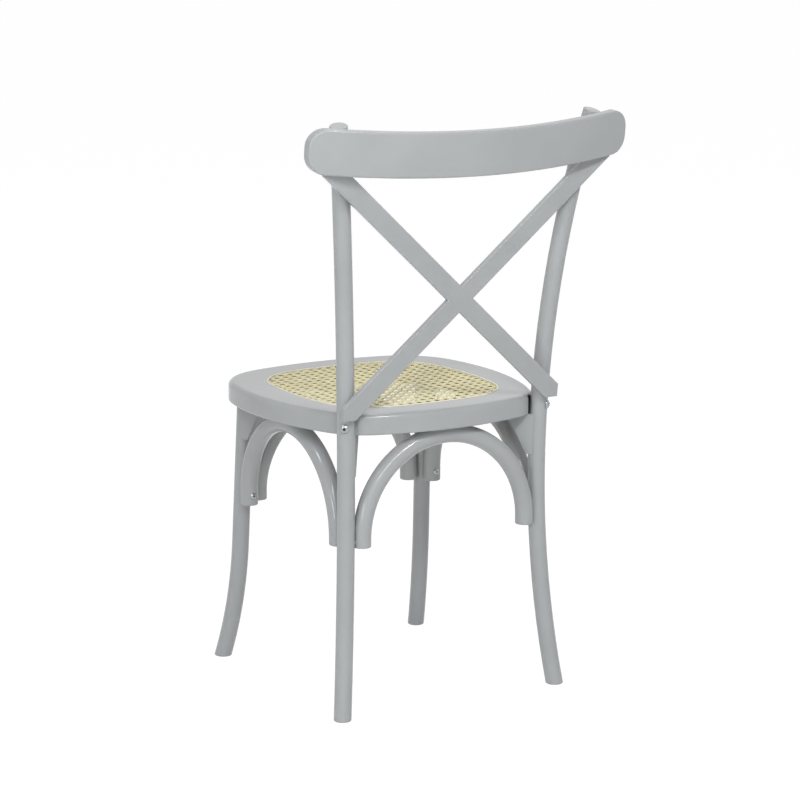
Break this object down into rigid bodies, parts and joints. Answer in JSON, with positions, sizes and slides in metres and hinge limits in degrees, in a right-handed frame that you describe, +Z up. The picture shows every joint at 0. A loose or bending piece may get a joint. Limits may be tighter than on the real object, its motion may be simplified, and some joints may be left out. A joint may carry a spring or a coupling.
{
  "type": "cross back dining chair",
  "caption": "Bentwood dining chair with a crossed-slat back, bowed top rail, caned ring seat, sabre front legs and bent arches under the seat.",
  "frame": {"origin": "on the floor, under the middle of the whole chair", "axes": "+Z up, the chair faces -Y, +X towards the sitter's left"},
  "size_m": [0.548, 0.5132, 0.9023],
  "materials": {
    "painted_wood": "satin light grey paint",
    "cane": "natural woven cane",
    "spline": "natural reed",
    "bright_screws": "polished plating",
    "zinc_steel": "zinc plated",
    "dowel_wood": "bare beech"
  },
  "bodies": {
    "root": {"rear_leg_left": "painted_wood", "rear_leg_right": "painted_wood", "front_leg_left": "painted_wood", "front_leg_right": "painted_wood", "seat_frame": "painted_wood", "cane_panel": "cane", "cane_spline": "spline", "crest_rail": "painted_wood", "cross_slat_left": "painted_wood", "cross_slat_right": "painted_wood", "arch_front": "painted_wood", "arch_rear": "painted_wood", "arch_left": "painted_wood", "arch_right": "painted_wood", "corner_block_front_left": "painted_wood", "corner_block_front_right": "painted_wood", "corner_block_rear_left": "painted_wood", "corner_block_rear_right": "painted_wood", "seat_bolts": "bright_screws", "seat_barrel_nuts": "zinc_steel", "arch_screws": "bright_screws", "arch_seat_screws": "zinc_steel", "corner_block_screws": "zinc_steel", "arch_dowels": "dowel_wood", "slat_dowels": "dowel_wood", "crest_dowels": "dowel_wood"}
  },
  "joints": []
}
